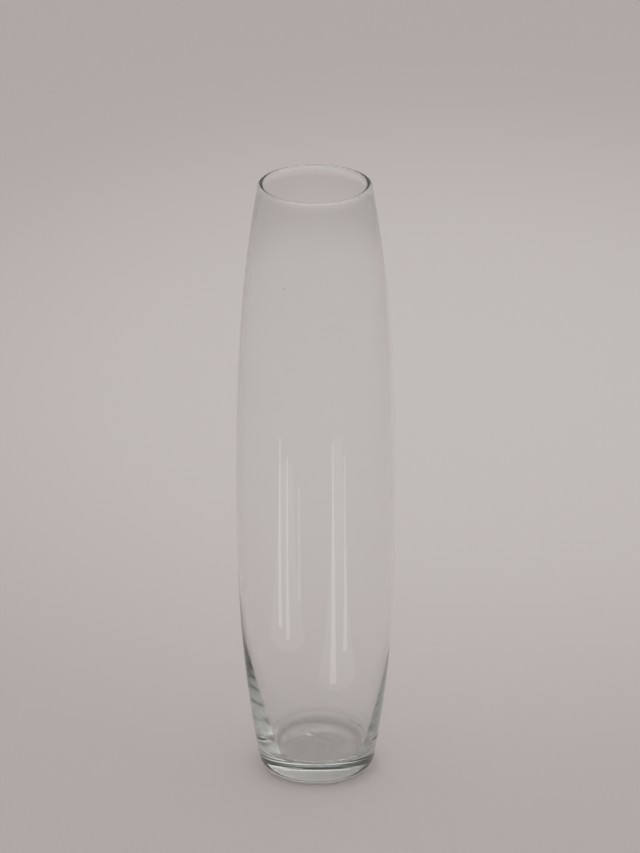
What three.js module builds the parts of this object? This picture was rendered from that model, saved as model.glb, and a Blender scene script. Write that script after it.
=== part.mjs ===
// A tall glass flower vase, blown and fire-polished in one piece: a slim barrel that is widest
// a little below the middle, with a heavy floor, a foot wall that thins as it rises, a thicker
// rounded rim, and a pushed-up underside that leaves a flat ring to stand on.
//
// Millimetres, +Z up. The origin is the centre of the standing ring, on the surface under it.

import * as THREE from "three";

// Outside of the barrel.
const HEIGHT = 400; // standing ring to the top of the rim
const BELLY_RADIUS = 50.7; // at the widest level
const BELLY_LEVEL = 182; // height of the widest level
const MOUTH_RADIUS = 35.8; // at the rim
const FOOT_RADIUS = 37.5; // where the barrel meets the heel
const SHOULDER_CURVE = 2.6; // exponent of the barrel above the belly: 2 would be a parabola
const FOOT_CURVE = 2.3; // the same below the belly

// Underside.
const HEEL_HEIGHT = 8.5; // the rounded corner under the barrel
const RING_OUTER_RADIUS = 29.5; // flat ring that the vase stands on
const RING_INNER_RADIUS = 21.5;
const PUSH_UP = 0.7; // height of the hollow inside the ring, at its centre

// Glass thickness.
const WALL = 1.5; // the blown wall, through the belly
const RIM_WALL = 4; // across the rounded rim
const RIM_TAPER = 55; // height over which the wall thins below the rim
const RIM_THINNING = 2; // exponent of that thinning: 1 would be a straight taper
const FOOT_WALL = 7.5; // at the level of the floor
const FOOT_TAPER = 78; // height over which the wall thins above the floor
const FOOT_THINNING = 1.75; // exponent of that thinning
const FLOOR = 14.8; // standing surface to the top of the floor
const FLOOR_CORNER = 4; // radius in the corner between the floor and the wall

// How finely the round shape is cut into flat faces.
const SIDES = 64;
const WALL_STEPS = 14;
const CORNER_STEPS = 4;
const RIM_STEPS = 6;

const GLASS = { color: 0xdfe6e2, roughness: 0.03, metalness: 0, transparent: true, opacity: 0.35 };

const RIM_RADIUS = RIM_WALL / 2;
const RIM_LEVEL = HEIGHT - RIM_RADIUS; // centre of the rounded rim

// The outside radius of the barrel at a height.
function outsideRadius(level) {
  const above = level > BELLY_LEVEL;
  const endLevel = above ? RIM_LEVEL : HEEL_HEIGHT;
  const endRadius = above ? MOUTH_RADIUS : FOOT_RADIUS;
  const share = (level - BELLY_LEVEL) / (endLevel - BELLY_LEVEL);
  return BELLY_RADIUS - (BELLY_RADIUS - endRadius) * share ** (above ? SHOULDER_CURVE : FOOT_CURVE);
}

// What a thick end adds to the wall at some distance from it.
function extraWall(endWall, distance, taper, thinning) {
  const share = Math.max(0, 1 - distance / taper);
  return (endWall - WALL) * share ** thinning;
}

// The inside radius at a height.
function insideRadius(level) {
  const wall =
    WALL +
    extraWall(RIM_WALL, RIM_LEVEL - level, RIM_TAPER, RIM_THINNING) +
    extraWall(FOOT_WALL, level - FLOOR, FOOT_TAPER, FOOT_THINNING);
  return outsideRadius(level) - wall;
}

// Points of one wall between two heights, as radius and height, without the last one.
function wallPoints(radiusAt, start, end) {
  return Array.from({ length: WALL_STEPS }, (_, step) => {
    const level = THREE.MathUtils.lerp(start, end, step / WALL_STEPS);
    return new THREE.Vector2(radiusAt(level), level);
  });
}

// A rounded corner: a parabola from one point to another that leaves both towards the third.
function cornerPoints(start, corner, end) {
  const arc = new THREE.QuadraticBezierCurve(start, corner, end);
  return arc.getPoints(CORNER_STEPS);
}

// The hollow under the floor, from its centre out to the ring: a shallow dome.
function pushUpPoints() {
  return Array.from({ length: CORNER_STEPS }, (_, step) => {
    const share = step / CORNER_STEPS;
    return new THREE.Vector2(RING_INNER_RADIUS * share, PUSH_UP * (1 - share ** 2));
  });
}

// The rounded rim, from the outside over the top to the inside.
function rimPoints() {
  const rim = new THREE.Path();
  rim.absarc(MOUTH_RADIUS - RIM_RADIUS, RIM_LEVEL, RIM_RADIUS, 0, Math.PI, false);
  return rim.getPoints(RIM_STEPS);
}

// The whole outline, from the axis under the floor, round the outside and back down the inside.
function outline() {
  const point = (radius, level) => new THREE.Vector2(radius, level);
  const cornerLevel = FLOOR + FLOOR_CORNER;
  return [
    ...pushUpPoints(),
    point(RING_INNER_RADIUS, 0),
    ...cornerPoints(
      point(RING_OUTER_RADIUS, 0),
      point(outsideRadius(0), 0),
      point(outsideRadius(HEEL_HEIGHT), HEEL_HEIGHT),
    ),
    ...wallPoints(outsideRadius, HEEL_HEIGHT, RIM_LEVEL).slice(1),
    ...rimPoints(),
    ...wallPoints(insideRadius, RIM_LEVEL, cornerLevel).slice(1),
    ...cornerPoints(
      point(insideRadius(cornerLevel), cornerLevel),
      point(insideRadius(FLOOR), FLOOR),
      point(insideRadius(FLOOR) - FLOOR_CORNER, FLOOR),
    ),
    point(0, FLOOR),
  ];
}

const geometry = new THREE.LatheGeometry(outline(), SIDES);
geometry.rotateX(Math.PI / 2); // a lathe turns about Y, and the vase stands along Z

const vase = new THREE.Mesh(geometry, new THREE.MeshStandardMaterial(GLASS));
vase.name = "glass_vase";

const group = new THREE.Group();
group.add(vase);

export default group;
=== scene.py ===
"""A tall blown-glass flower vase on a pale studio floor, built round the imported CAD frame.

The vase is one body of clear soda-lime glass. Its fine mesh is turned from the same outline as
the CAD solid and stands for it. Sizes are in millimetres and are scaled to metres once, when a
mesh is finished.
"""

import logging
import math
from dataclasses import dataclass

import bmesh
import bpy
from mathutils import Matrix, Vector, noise

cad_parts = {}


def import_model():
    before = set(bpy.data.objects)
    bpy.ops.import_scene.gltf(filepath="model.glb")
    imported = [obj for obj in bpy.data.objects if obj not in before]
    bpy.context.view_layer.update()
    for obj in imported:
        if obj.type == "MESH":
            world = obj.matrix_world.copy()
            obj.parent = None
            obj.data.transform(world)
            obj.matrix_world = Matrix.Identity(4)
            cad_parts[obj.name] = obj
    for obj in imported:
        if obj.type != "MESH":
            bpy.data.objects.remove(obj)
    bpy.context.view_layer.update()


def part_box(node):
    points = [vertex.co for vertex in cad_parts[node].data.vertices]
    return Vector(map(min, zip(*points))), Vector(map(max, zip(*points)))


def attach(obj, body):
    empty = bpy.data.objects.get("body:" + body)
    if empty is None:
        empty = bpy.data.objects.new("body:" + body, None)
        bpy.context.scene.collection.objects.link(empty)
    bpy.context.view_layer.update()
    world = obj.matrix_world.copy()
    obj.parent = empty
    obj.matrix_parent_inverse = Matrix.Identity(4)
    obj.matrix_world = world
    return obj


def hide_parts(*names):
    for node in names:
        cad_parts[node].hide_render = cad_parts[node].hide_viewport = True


LOG = logging.getLogger("vase")
MM = 0.001
AXIS = Vector((0.0, 0.0, 1.0))
NODE = "glass_vase"
BODY = "root"
BOUNCES = 64  # light crosses many surfaces on its way through a thick glass floor
TOUCH = 0.01  # millimetres within which a point counts as level with the floor


def linear(colour: str) -> tuple[float, float, float, float]:
    """Turns an sRGB hex colour into linear RGBA.

    Args:
        colour: Six hex digits, such as "b9b3b1".

    Returns:
        The linear red, green, blue and an alpha of 1.
    """
    channels = [int(colour[i : i + 2], 16) / 255 for i in (0, 2, 4)]
    flat = [c / 12.92 if c <= 0.04045 else ((c + 0.055) / 1.055) ** 2.4 for c in channels]
    return (*flat, 1.0)


def add_node(
    material: bpy.types.Material | bpy.types.World,
    kind: str,
    settings: dict[str, object] | None = None,
    inputs: dict[str, object] | None = None,
) -> bpy.types.Node:
    """Adds one shader node.

    Args:
        material: The material or world that gets the node.
        kind: The node's Blender type name.
        settings: Properties to set on the node.
        inputs: Input sockets by name, each given a value or linked from an output socket.

    Returns:
        The new node.
    """
    tree = material.node_tree
    node = tree.nodes.new(kind)
    for name, value in (settings or {}).items():
        setattr(node, name, value)
    for name, value in (inputs or {}).items():
        socket = node.inputs[int(name)] if name.isdigit() else node.inputs[name]
        if isinstance(value, bpy.types.NodeSocket):
            tree.links.new(value, socket)
        else:
            socket.default_value = value
    return node


def add_ramp(
    material: bpy.types.Material | bpy.types.World,
    share: bpy.types.NodeSocket,
    stops: tuple[tuple[float, str], ...],
) -> bpy.types.NodeSocket:
    """Adds a smooth colour ramp.

    Args:
        material: The material or world that gets the ramp.
        share: The value, from 0 to 1, that chooses the colour.
        stops: Places along the ramp, each with its sRGB hex colour.

    Returns:
        The ramp's colour socket.
    """
    ramp = add_node(material, "ShaderNodeValToRGB", inputs={"Fac": share})
    ramp.color_ramp.interpolation = "B_SPLINE"
    elements = ramp.color_ramp.elements
    while len(elements) < len(stops):
        elements.new(1.0)
    for element, (place, colour) in zip(elements, stops):
        element.position = place
        element.color = linear(colour)
    return ramp.outputs["Color"]


def add_mix(
    material: bpy.types.Material | bpy.types.World,
    share: bpy.types.NodeSocket,
    first: object,
    second: object,
) -> bpy.types.NodeSocket:
    """Adds a blend of two colours.

    Args:
        material: The material or world that gets the node.
        share: How much of the second colour there is, from 0 to 1.
        first: The first colour, or a socket that gives it.
        second: The second colour, or a socket that gives it.

    Returns:
        The blended colour's socket.
    """
    settings = {"data_type": "RGBA"}
    blend = add_node(material, "ShaderNodeMix", settings, {"0": share, "6": first, "7": second})
    return blend.outputs[2]


@dataclass(frozen=True)
class ClearGlass:
    """Clear soda-lime glass, blown and fire-polished.

    It is see-through and bright, and grey where the light runs a long way through it. Blowing
    draws faint upright cords into it, and use leaves a thin chalky film on the floor.
    """

    index: float = 1.52
    depth_colour: str = "cccfcd"  # what is left of white light
    depth_mm: float = 100.0  # after this much glass
    cords_per_radius: float = 10.0  # how many cords pass in a turn of one radian
    cord_start_mm: float = 30.0  # inside this radius they lose their direction
    cord_height_mm: float = 160.0
    cord_relief_mm: float = 0.006
    cord_detail: float = 1.5
    cord_roughness: float = 0.4
    film_colour: str = "e6e4e2"
    film_weight: float = 0.06  # the most of the light that the film scatters
    film_grain_mm: float = 3.2
    film_top_mm: float = 18.0  # the film fades out between these two heights
    film_bottom_mm: float = 14.0
    film_detail: float = 4.0
    film_roughness: float = 0.65
    film_thin: float = 0.3  # grain values between which the film goes from thin to thick
    film_thick: float = 0.75
    film_least: float = 0.5  # cover where it is thin

    def cords(self, made: bpy.types.Material, place: bpy.types.NodeSocket) -> bpy.types.NodeSocket:
        """Adds the upright cords.

        Args:
            made: The material that gets the nodes.
            place: The place on the vase, in metres.

        Returns:
            The surface's normal, bent by the cords.
        """
        along = Vector((0.0, 0.0, 1 / (self.cord_height_mm * MM)))
        level = add_node(made, "ShaderNodeVectorMath", {"operation": "MULTIPLY"}, {"0": place, "1": along})
        flat = add_node(
            made, "ShaderNodeVectorMath", {"operation": "MULTIPLY"}, {"0": place, "1": (1.0, 1.0, 0.0)}
        )
        radius = add_node(
            made, "ShaderNodeVectorMath", {"operation": "LENGTH"}, {"0": flat.outputs["Vector"]}
        )
        reach = add_node(
            made,
            "ShaderNodeMath",
            {"operation": "MAXIMUM"},
            {"0": radius.outputs["Value"], "1": self.cord_start_mm * MM},
        )
        around = add_node(
            made,
            "ShaderNodeVectorMath",
            {"operation": "DIVIDE"},
            {"0": flat.outputs["Vector"], "1": reach.outputs["Value"]},
        )
        stretched = add_node(
            made,
            "ShaderNodeVectorMath",
            {"operation": "MULTIPLY_ADD"},
            {
                "0": around.outputs["Vector"],
                "1": [self.cords_per_radius] * 3,
                "2": level.outputs["Vector"],
            },
        )
        wave = add_node(
            made,
            "ShaderNodeTexNoise",
            inputs={
                "Vector": stretched.outputs["Vector"],
                "Scale": 1.0,
                "Detail": self.cord_detail,
                "Roughness": self.cord_roughness,
            },
        )
        bump = add_node(
            made,
            "ShaderNodeBump",
            inputs={"Height": wave.outputs["Fac"], "Strength": 1.0, "Distance": self.cord_relief_mm * MM},
        )
        return bump.outputs["Normal"]

    def film(self, made: bpy.types.Material, place: bpy.types.NodeSocket) -> bpy.types.NodeSocket:
        """Adds the chalky film.

        Args:
            made: The material that gets the nodes.
            place: The place on the vase, in metres.

        Returns:
            The film's cover, from 0 on clean glass to 1 where it is thickest.
        """
        level = add_node(made, "ShaderNodeSeparateXYZ", inputs={"Vector": place}).outputs["Z"]
        fade = add_node(
            made,
            "ShaderNodeMapRange",
            {"interpolation_type": "SMOOTHSTEP"},
            {
                "Value": level,
                "From Min": self.film_top_mm * MM,
                "From Max": self.film_bottom_mm * MM,
            },
        )
        grain = add_node(
            made,
            "ShaderNodeTexNoise",
            inputs={
                "Vector": place,
                "Scale": 1 / (self.film_grain_mm * MM),
                "Detail": self.film_detail,
                "Roughness": self.film_roughness,
            },
        )
        patches = add_node(
            made,
            "ShaderNodeMapRange",
            {"interpolation_type": "SMOOTHSTEP"},
            {
                "Value": grain.outputs["Fac"],
                "From Min": self.film_thin,
                "From Max": self.film_thick,
                "To Min": self.film_least,
            },
        )
        cover = add_node(
            made,
            "ShaderNodeMath",
            {"operation": "MULTIPLY"},
            {"0": fade.outputs["Result"], "1": patches.outputs["Result"]},
        )
        return cover.outputs["Value"]

    def absorption(self, made: bpy.types.Material) -> bpy.types.NodeSocket:
        """Adds the glass's own grey, which deepens with the way through it.

        Args:
            made: The material that gets the nodes.

        Returns:
            The volume's socket.
        """
        left = linear(self.depth_colour)
        density = -math.log(min(left[:3])) / (self.depth_mm * MM)
        # Volume Absorption takes away (1 - colour) * density over each metre.
        share = [1 + math.log(channel) / (density * self.depth_mm * MM) for channel in left[:3]]
        volume = add_node(
            made, "ShaderNodeVolumeAbsorption", inputs={"Color": (*share, 1.0), "Density": density}
        )
        return volume.outputs["Volume"]

    def material(self) -> bpy.types.Material:
        """Builds the material.

        Returns:
            The glass, with its tint in the volume.
        """
        made = bpy.data.materials.new("clear_soda_lime_glass")
        made.use_nodes = True
        made.node_tree.nodes.clear()
        place = add_node(made, "ShaderNodeTexCoord").outputs["Object"]
        cover = self.film(made, place)
        colour = add_mix(made, cover, linear("ffffff"), linear(self.film_colour))
        clear = add_node(
            made,
            "ShaderNodeMapRange",
            inputs={"Value": cover, "To Min": 1.0, "To Max": 1 - self.film_weight},
        )
        shader = add_node(
            made,
            "ShaderNodeBsdfPrincipled",
            inputs={
                "Base Color": colour,
                "Metallic": 0.0,
                "Roughness": 0.0,
                "IOR": self.index,
                "Transmission Weight": clear.outputs["Result"],
                "Normal": self.cords(made, place),
            },
        )
        add_node(
            made,
            "ShaderNodeOutputMaterial",
            inputs={"Surface": shader.outputs["BSDF"], "Volume": self.absorption(made)},
        )
        return made


@dataclass(frozen=True)
class Crease:
    """A shallow groove or pit, left in the floor's top when the hot glass was cut and pressed."""

    start: tuple[float, float]
    end: tuple[float, float]
    half_width: float
    depth: float

    def cut(self, place: Vector) -> float:
        """How deep the crease is at a place on the floor.

        Args:
            place: The place, in millimetres.

        Returns:
            The depth, in millimetres.
        """
        start, end = Vector(self.start), Vector(self.end)
        along = (place.xy - start).dot(end - start) / (end - start).length_squared
        nearest = start.lerp(end, min(1.0, max(0.0, along)))
        return self.depth * math.exp(-(((place.xy - nearest).length / self.half_width) ** 2))


@dataclass(frozen=True)
class Seed:
    """A small air bubble, drawn out upwards, that stayed in the wall when it was blown."""

    azimuth: float  # degrees from straight in front, positive to the right
    level: float
    radius: float
    stretch: float


@dataclass
class Vase:
    """The vase: a barrel with a heavy floor, a tapering foot wall and a rounded rim."""

    height: float
    belly_radius: float
    belly_level: float = 182.0
    mouth_radius: float = 35.8
    foot_radius: float = 37.5
    shoulder_curve: float = 2.6
    foot_curve: float = 2.3
    heel_height: float = 8.5
    ring_outer_radius: float = 29.5
    ring_inner_radius: float = 21.5
    push_up: float = 0.7
    wall: float = 1.5
    rim_wall: float = 4.0
    rim_taper: float = 55.0
    rim_power: float = 2.0
    foot_wall: float = 7.5
    foot_taper: float = 78.0
    foot_power: float = 1.75
    floor: float = 14.8
    floor_corner: float = 4.0
    sides: int = 256
    wall_steps: int = 70
    corner_steps: int = 14
    floor_steps: int = 40
    lean: float = 1.2  # how far the hollow sits off the axis at the floor
    lean_height: float = 130.0  # height over which it comes back to the axis
    ripple: float = 0.12  # unevenness of the inner wall
    ripple_width: float = 26.0
    ripple_height: float = 75.0
    ripple_fade: float = 0.5  # exponent of its fading towards the floor and the rim
    mottle: float = 0.05  # unevenness of the floor
    mottle_width: float = 4.0
    mottle_edge: int = 8  # exponent of its fading: the higher, the closer to the corner it goes
    shear_mark: Crease = Crease(start=(-8.0, 3.2), end=(8.0, -4.0), half_width=1.0, depth=0.2)
    pits: tuple[Crease, ...] = (
        Crease((11.2, -14.6), (11.8, -15.0), 0.8, 0.3),
        Crease((17.0, 0.6), (19.5, -0.6), 0.9, 0.14),
        Crease((1.0, 10.4), (3.4, 10.2), 0.7, 0.25),
        Crease((-6.5, -3.4), (-2.0, -4.6), 1.1, 0.1),
        Crease((-13.0, -7.0), (-12.0, -9.0), 1.2, 0.12),
        Crease((15.0, -10.5), (16.0, -9.0), 0.7, 0.16),
    )
    seeds: tuple[Seed, ...] = (
        Seed(azimuth=-27.0, level=345.0, radius=0.36, stretch=1.5),
        Seed(azimuth=90.0, level=90.0, radius=0.45, stretch=1.3),
    )

    @property
    def rim_radius(self) -> float:
        """Radius of the rounded rim's section."""
        return self.rim_wall / 2

    @property
    def rim_level(self) -> float:
        """Height of the middle of the rounded rim."""
        return self.height - self.rim_radius

    def outside_radius(self, level: float) -> float:
        """Outside radius of the barrel at a height.

        Args:
            level: Height above the standing ring.

        Returns:
            The radius, in millimetres.
        """
        above = level > self.belly_level
        end_level = self.rim_level if above else self.heel_height
        end_radius = self.mouth_radius if above else self.foot_radius
        share = (level - self.belly_level) / (end_level - self.belly_level)
        power = self.shoulder_curve if above else self.foot_curve
        return self.belly_radius - (self.belly_radius - end_radius) * share**power

    def extra_wall(self, end_wall: float, distance: float, taper: float, power: float) -> float:
        """What a thick end of the wall adds at a distance from it.

        Args:
            end_wall: Thickness at the end.
            distance: How far it is from the end.
            taper: Distance over which the wall thins.
            power: Exponent of the thinning, where 1 is a straight taper.

        Returns:
            The extra thickness, in millimetres.
        """
        return (end_wall - self.wall) * max(0.0, 1 - distance / taper) ** power

    def inside_radius(self, level: float) -> float:
        """Inside radius at a height.

        Args:
            level: Height above the standing ring.

        Returns:
            The radius, in millimetres.
        """
        rim = self.extra_wall(self.rim_wall, self.rim_level - level, self.rim_taper, self.rim_power)
        foot = self.extra_wall(self.foot_wall, level - self.floor, self.foot_taper, self.foot_power)
        return self.outside_radius(level) - self.wall - rim - foot

    def corner(self, start: Vector, bend: Vector, end: Vector) -> list[Vector]:
        """Rounds a corner with a parabola.

        Args:
            start: Where the corner starts.
            bend: The sharp corner, which both ends leave towards.
            end: Where the corner ends.

        Returns:
            The points, with both ends.
        """
        points = []
        for step in range(self.corner_steps + 1):
            t = step / self.corner_steps
            points.append(start.lerp(bend, t).lerp(bend.lerp(end, t), t))
        return points

    def outline(self) -> list[Vector]:
        """The section's outline.

        Returns:
            Points in the XZ plane, from the axis under the floor, up the outside, over the rim
            and down the inside to the axis on top of the floor.
        """

        def at(radius: float, level: float) -> Vector:
            return Vector((radius, 0.0, level))

        points = []
        for step in range(self.corner_steps):
            share = step / self.corner_steps
            points.append(at(self.ring_inner_radius * share, self.push_up * (1 - share**2)))
        points.append(at(self.ring_inner_radius, 0.0))
        points += self.corner(
            at(self.ring_outer_radius, 0.0),
            at(self.outside_radius(0.0), 0.0),
            at(self.outside_radius(self.heel_height), self.heel_height),
        )
        for step in range(1, self.wall_steps):
            level = self.heel_height + (self.rim_level - self.heel_height) * step / self.wall_steps
            points.append(at(self.outside_radius(level), level))
        for step in range(self.corner_steps + 1):
            turn = math.pi * step / self.corner_steps
            points.append(
                at(
                    self.mouth_radius - self.rim_radius + self.rim_radius * math.cos(turn),
                    self.rim_level + self.rim_radius * math.sin(turn),
                )
            )
        foot = self.floor + self.floor_corner
        for step in range(1, self.wall_steps):
            level = self.rim_level + (foot - self.rim_level) * step / self.wall_steps
            points.append(at(self.inside_radius(level), level))
        points += self.corner(
            at(self.inside_radius(foot), foot),
            at(self.inside_radius(self.floor), self.floor),
            at(self.inside_radius(self.floor) - self.floor_corner, self.floor),
        )
        flat = self.inside_radius(self.floor) - self.floor_corner
        for step in range(1, self.floor_steps + 1):
            points.append(at(flat * (1 - step / self.floor_steps), self.floor))
        return points

    def settle(self, mesh: bmesh.types.BMesh) -> None:
        """Makes the hollow uneven, as blown glass is, and leaves the outside true.

        Args:
            mesh: The turned vase, in millimetres.
        """
        for vert in mesh.verts:
            radius, level = vert.co.xy.length, vert.co.z
            middle_of_wall = (self.outside_radius(level) + self.inside_radius(level)) / 2
            if level < self.floor - TOUCH or level > self.rim_level or radius > middle_of_wall:
                continue
            if level < self.floor + TOUCH:
                place = vert.co / self.mottle_width
                flat = self.inside_radius(self.floor) - self.floor_corner
                edge = max(0.0, 1 - (radius / flat) ** self.mottle_edge)
                cut = sum(crease.cut(vert.co) for crease in (self.shear_mark, *self.pits))
                vert.co.z += (self.mottle * noise.noise(place) - cut) * edge
            else:
                rise = (level - self.floor) / (self.rim_level - self.floor)
                place = Vector((vert.co.x, vert.co.y, 0.0)) / self.ripple_width
                place.z = level / self.ripple_height
                fade = math.sin(math.pi * rise) ** self.ripple_fade
                outward = Vector((vert.co.x, vert.co.y, 0.0)).normalized()
                vert.co += outward * self.ripple * fade * noise.noise(place)
            share = max(0.0, 1 - (level - self.floor) / self.lean_height)
            vert.co.x += self.lean * share**2 * (3 - 2 * share)

    def add_seed(self, mesh: bmesh.types.BMesh, seed: Seed) -> None:
        """Hollows one air bubble out of the middle of the wall.

        Args:
            mesh: The vase, in millimetres.
            seed: The bubble.
        """
        radius = (self.outside_radius(seed.level) + self.inside_radius(seed.level)) / 2
        turn = Matrix.Rotation(math.radians(seed.azimuth), 4, "Z")
        middle = turn @ Vector((0.0, -radius, seed.level))
        size = Matrix.Diagonal((seed.radius, seed.radius, seed.radius * seed.stretch, 1.0))
        ball = bmesh.ops.create_icosphere(
            mesh, subdivisions=3, radius=1.0, matrix=Matrix.Translation(middle) @ size
        )
        faces = list({face for vert in ball["verts"] for face in vert.link_faces})
        bmesh.ops.reverse_faces(mesh, faces=faces)

    def build(self) -> bpy.types.Object:
        """Turns the outline into the closed glass body.

        Returns:
            The vase as one object, in metres.
        """
        mesh = bmesh.new()
        ring = [mesh.verts.new(point) for point in self.outline()]
        edges = [mesh.edges.new(pair) for pair in zip(ring, ring[1:])]
        bmesh.ops.spin(
            mesh,
            geom=ring + edges,
            cent=Vector(),
            axis=AXIS,
            angle=math.tau,
            steps=self.sides,
            use_merge=True,
        )
        bmesh.ops.remove_doubles(mesh, verts=mesh.verts, dist=1e-4)
        bmesh.ops.recalc_face_normals(mesh, faces=mesh.faces)
        self.settle(mesh)
        for seed in self.seeds:
            self.add_seed(mesh, seed)
        bmesh.ops.scale(mesh, vec=Vector((MM, MM, MM)), verts=mesh.verts)
        for face in mesh.faces:
            face.smooth = True
        data = bpy.data.meshes.new("vase_body")
        mesh.to_mesh(data)
        mesh.free()
        made = bpy.data.objects.new("vase_body", data)
        bpy.context.scene.collection.objects.link(made)
        return made


@dataclass(frozen=True)
class Card:
    """A long white card that lies near the table in front of the vase and shows as a streak in it."""

    azimuth: float  # degrees from straight in front, positive to the right
    width: float
    near: float  # distance of its two ends from the vase's axis
    far: float
    brightness: float
    lift: float = 3.0  # cards that cross lie at different heights

    def light(self) -> bpy.types.Object:
        """Makes the card as an area light that only mirror reflections see.

        Returns:
            The light, facing up just above the floor.
        """
        length = (self.far - self.near) * MM
        data = bpy.data.lights.new("white_card", "AREA")
        data.shape = "RECTANGLE"
        data.size = self.width * MM
        data.size_y = length
        data.energy = self.brightness * math.pi * data.size * length
        made = bpy.data.objects.new("white_card", data)
        middle = (self.near + self.far) / 2 * MM
        face_up = Matrix.Rotation(math.pi, 4, "X")
        turn = Matrix.Rotation(math.radians(self.azimuth), 4, "Z")
        made.matrix_world = turn @ Matrix.Translation((0.0, -middle, self.lift * MM)) @ face_up
        for kind in ("camera", "diffuse", "transmission", "volume_scatter"):
            setattr(made, f"visible_{kind}", False)
        bpy.context.scene.collection.objects.link(made)
        return made


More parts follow.
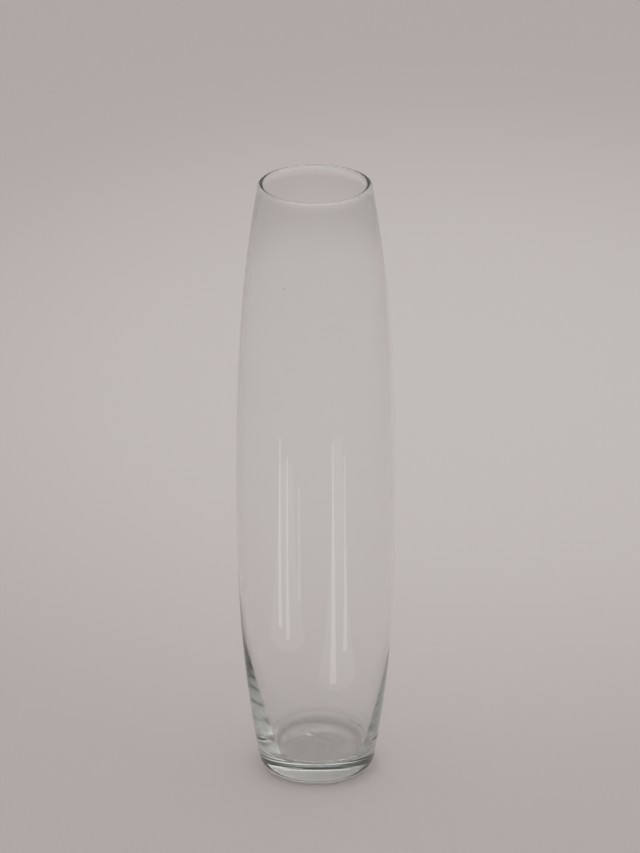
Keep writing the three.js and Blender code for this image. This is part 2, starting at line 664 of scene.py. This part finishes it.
@dataclass
class Studio:
    """A pale floor with a painted pool of light, under an overhead softbox, with dim walls round it and
    white cards in front.
    """

    floor_radius: float = 12000.0
    floor_drop: float = 0.15  # keeps the floor and the standing ring from flickering
    painted_light_pool_middle: tuple[float, float] = (110.0, 640.0)  # of the painted pool of light on the floor, behind the vase
    painted_light_pool_reach: tuple[float, float] = (1900.0, 2400.0)  # how far the painted pool of light fades, sideways and in depth
    # painted light: these tones paint a pool of light behind the vase, and the light's fall-off further
    # out, into the floor's colour
    painted_light_pool_tones: tuple[tuple[float, str], ...] = (
        (0.0, "c1bcbb"),
        (0.2, "bdb8b7"),
        (0.32, "a8a19f"),
        (0.6, "a9a4a1"),
        (0.8, "a09b99"),
        (1.0, "999694"),
    )
    paint_roughness: float = 0.6
    paint_shine: float = 0.2
    low_wall: str = "a5a19f"  # meets the far floor at the horizon
    low_edge: float = 0.17  # sine of the height where it starts to give way to the walls
    wall_left: str = "aeabaa"
    wall_right: str = "e2dfdd"
    wall_blend: float = 0.6  # sine of the turn, to each side, over which one becomes the other
    wall_top: float = 0.6  # sine of the height above the horizon
    box_edge: float = 0.8  # the same for the softbox
    box_strength: float = 0.92
    cards: tuple[Card, ...] = (
        Card(-51.0, 24.0, 240.0, 700.0, 1.7),
        Card(-40.0, 20.0, 220.0, 650.0, 1.6),
        Card(-42.0, 200.0, 200.0, 620.0, 0.45, lift=2.0),
        Card(-23.0, 18.0, 300.0, 560.0, 1.3),
        Card(23.0, 26.0, 150.0, 700.0, 1.6),
        Card(30.0, 150.0, 140.0, 720.0, 0.5, lift=2.0),
        Card(40.0, 20.0, 200.0, 650.0, 1.5),
    )

    def floor(self) -> bpy.types.Object:
        """Builds the floor, which isn't part of the object.

        Returns:
            The floor.
        """
        mesh = bmesh.new()
        bmesh.ops.create_circle(mesh, cap_ends=True, segments=96, radius=self.floor_radius * MM)
        bmesh.ops.translate(mesh, vec=AXIS * -self.floor_drop * MM, verts=mesh.verts)
        data = bpy.data.meshes.new("studio_floor")
        mesh.to_mesh(data)
        mesh.free()
        made = bpy.data.objects.new("studio_floor", data)
        bpy.context.scene.collection.objects.link(made)
        data.materials.append(self.paint())
        return made

    def paint(self) -> bpy.types.Material:
        """Builds the floor's matt paint, with a painted pool of light in a soft patch behind the vase and
        painted fall-off of the light further out.

        Returns:
            The paint.
        """
        made = bpy.data.materials.new("matt_paint_painted_light_pool")
        made.use_nodes = True
        made.node_tree.nodes.clear()
        place = add_node(made, "ShaderNodeTexCoord").outputs["Object"]
        from_middle = add_node(
            made,
            "ShaderNodeMapping",
            {"vector_type": "TEXTURE"},
            {
                "Vector": place,
                "Location": Vector((*self.painted_light_pool_middle, 0.0)) * MM,
                "Scale": Vector((*self.painted_light_pool_reach, 1.0)) * MM,
            },
        )
        share = add_node(
            made,
            "ShaderNodeVectorMath",
            {"operation": "LENGTH"},
            {"0": from_middle.outputs["Vector"]},
        )
        # painted light: the floor's colour is lighter in the pool and darker away from it, standing in for
        # the light's fall-off
        tone = add_ramp(made, share.outputs["Value"], self.painted_light_pool_tones)
        shader = add_node(
            made,
            "ShaderNodeBsdfPrincipled",
            inputs={
                "Base Color": tone,
                "Roughness": self.paint_roughness,
                "Specular IOR Level": self.paint_shine,
            },
        )
        add_node(made, "ShaderNodeOutputMaterial", inputs={"Surface": shader.outputs["BSDF"]})
        return made

    def sky(self) -> bpy.types.World:
        """Builds the softbox overhead and the dim walls, darker on the left.

        Returns:
            The world.
        """
        made = bpy.data.worlds.new("studio_surroundings")
        made.use_nodes = True
        made.node_tree.nodes.clear()
        direction = add_node(made, "ShaderNodeTexCoord").outputs["Generated"]
        split = add_node(made, "ShaderNodeSeparateXYZ", inputs={"Vector": direction})
        side = add_node(
            made,
            "ShaderNodeMapRange",
            inputs={
                "Value": split.outputs["X"],
                "From Min": -self.wall_blend,
                "From Max": self.wall_blend,
            },
        )
        sides = ((0.0, self.wall_left), (1.0, self.wall_right))
        walls = add_ramp(made, side.outputs["Result"], sides)
        low = add_node(
            made,
            "ShaderNodeMapRange",
            {"interpolation_type": "SMOOTHSTEP"},
            {"Value": split.outputs["Z"], "From Min": self.low_edge, "From Max": self.low_edge * 2},
        )
        tone = add_mix(made, low.outputs["Result"], linear(self.low_wall), walls)
        rise = add_node(
            made,
            "ShaderNodeMapRange",
            {"interpolation_type": "SMOOTHSTEP"},
            {
                "Value": split.outputs["Z"],
                "From Min": self.wall_top,
                "From Max": self.box_edge,
                "To Max": self.box_strength,
            },
        )
        wall_light = add_node(made, "ShaderNodeBackground", inputs={"Color": tone})
        box_light = add_node(made, "ShaderNodeBackground", inputs={"Strength": rise.outputs["Result"]})
        box_light.inputs["Color"].default_value = (1.0, 1.0, 1.0, 1.0)
        both = add_node(
            made,
            "ShaderNodeAddShader",
            inputs={"0": wall_light.outputs["Background"], "1": box_light.outputs["Background"]},
        )
        add_node(made, "ShaderNodeOutputWorld", inputs={"Surface": both.outputs["Shader"]})
        return made

    def build(self) -> None:
        """Sets up the floor and the light."""
        self.floor()
        bpy.context.scene.world = self.sky()
        for card in self.cards:
            card.light()


@dataclass
class ViewCamera:
    """A long lens, looking down at the vase from the front."""

    distance: float = 3200.0
    height: float = 1601.0
    pitch: float = 23.096
    roll: float = -0.193
    yaw: float = -0.048
    focal_length: float = 232.6
    sensor: float = 36.0

    def place(self) -> None:
        """Makes the camera and gives it to the scene."""
        data = bpy.data.cameras.new("view_camera")
        data.lens = self.focal_length
        data.sensor_width = self.sensor
        data.clip_start = 0.1
        data.clip_end = 40.0
        camera = bpy.data.objects.new("view_camera", data)
        bpy.context.scene.collection.objects.link(camera)
        camera.matrix_world = (
            Matrix.Translation(Vector((0.0, -self.distance, self.height)) * MM)
            @ Matrix.Rotation(math.radians(self.yaw), 4, "Z")
            @ Matrix.Rotation(math.radians(90 - self.pitch), 4, "X")
            @ Matrix.Rotation(math.radians(self.roll), 4, "Z")
        )
        bpy.context.scene.camera = camera


def main() -> None:
    """Builds the vase round the frame, then the studio."""
    logging.basicConfig(level=logging.INFO, format="%(name)s: %(message)s")
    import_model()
    low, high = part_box(NODE)
    vase = Vase(height=(high.z - low.z) / MM, belly_radius=(high.x - low.x) / 2 / MM)
    body = vase.build()
    body.data.materials.append(ClearGlass().material())
    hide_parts(NODE)
    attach(body, BODY)
    LOG.info("%s: %d faces", body.name, len(body.data.polygons))
    Studio().build()
    ViewCamera().place()
    bpy.context.scene.view_settings.view_transform = "Standard"
    for kind in ("max_bounces", "transmission_bounces", "glossy_bounces", "diffuse_bounces"):
        setattr(bpy.context.scene.cycles, kind, BOUNCES)
    bpy.context.scene.cycles.blur_glossy = 0.0


if __name__ == "__main__":
    main()
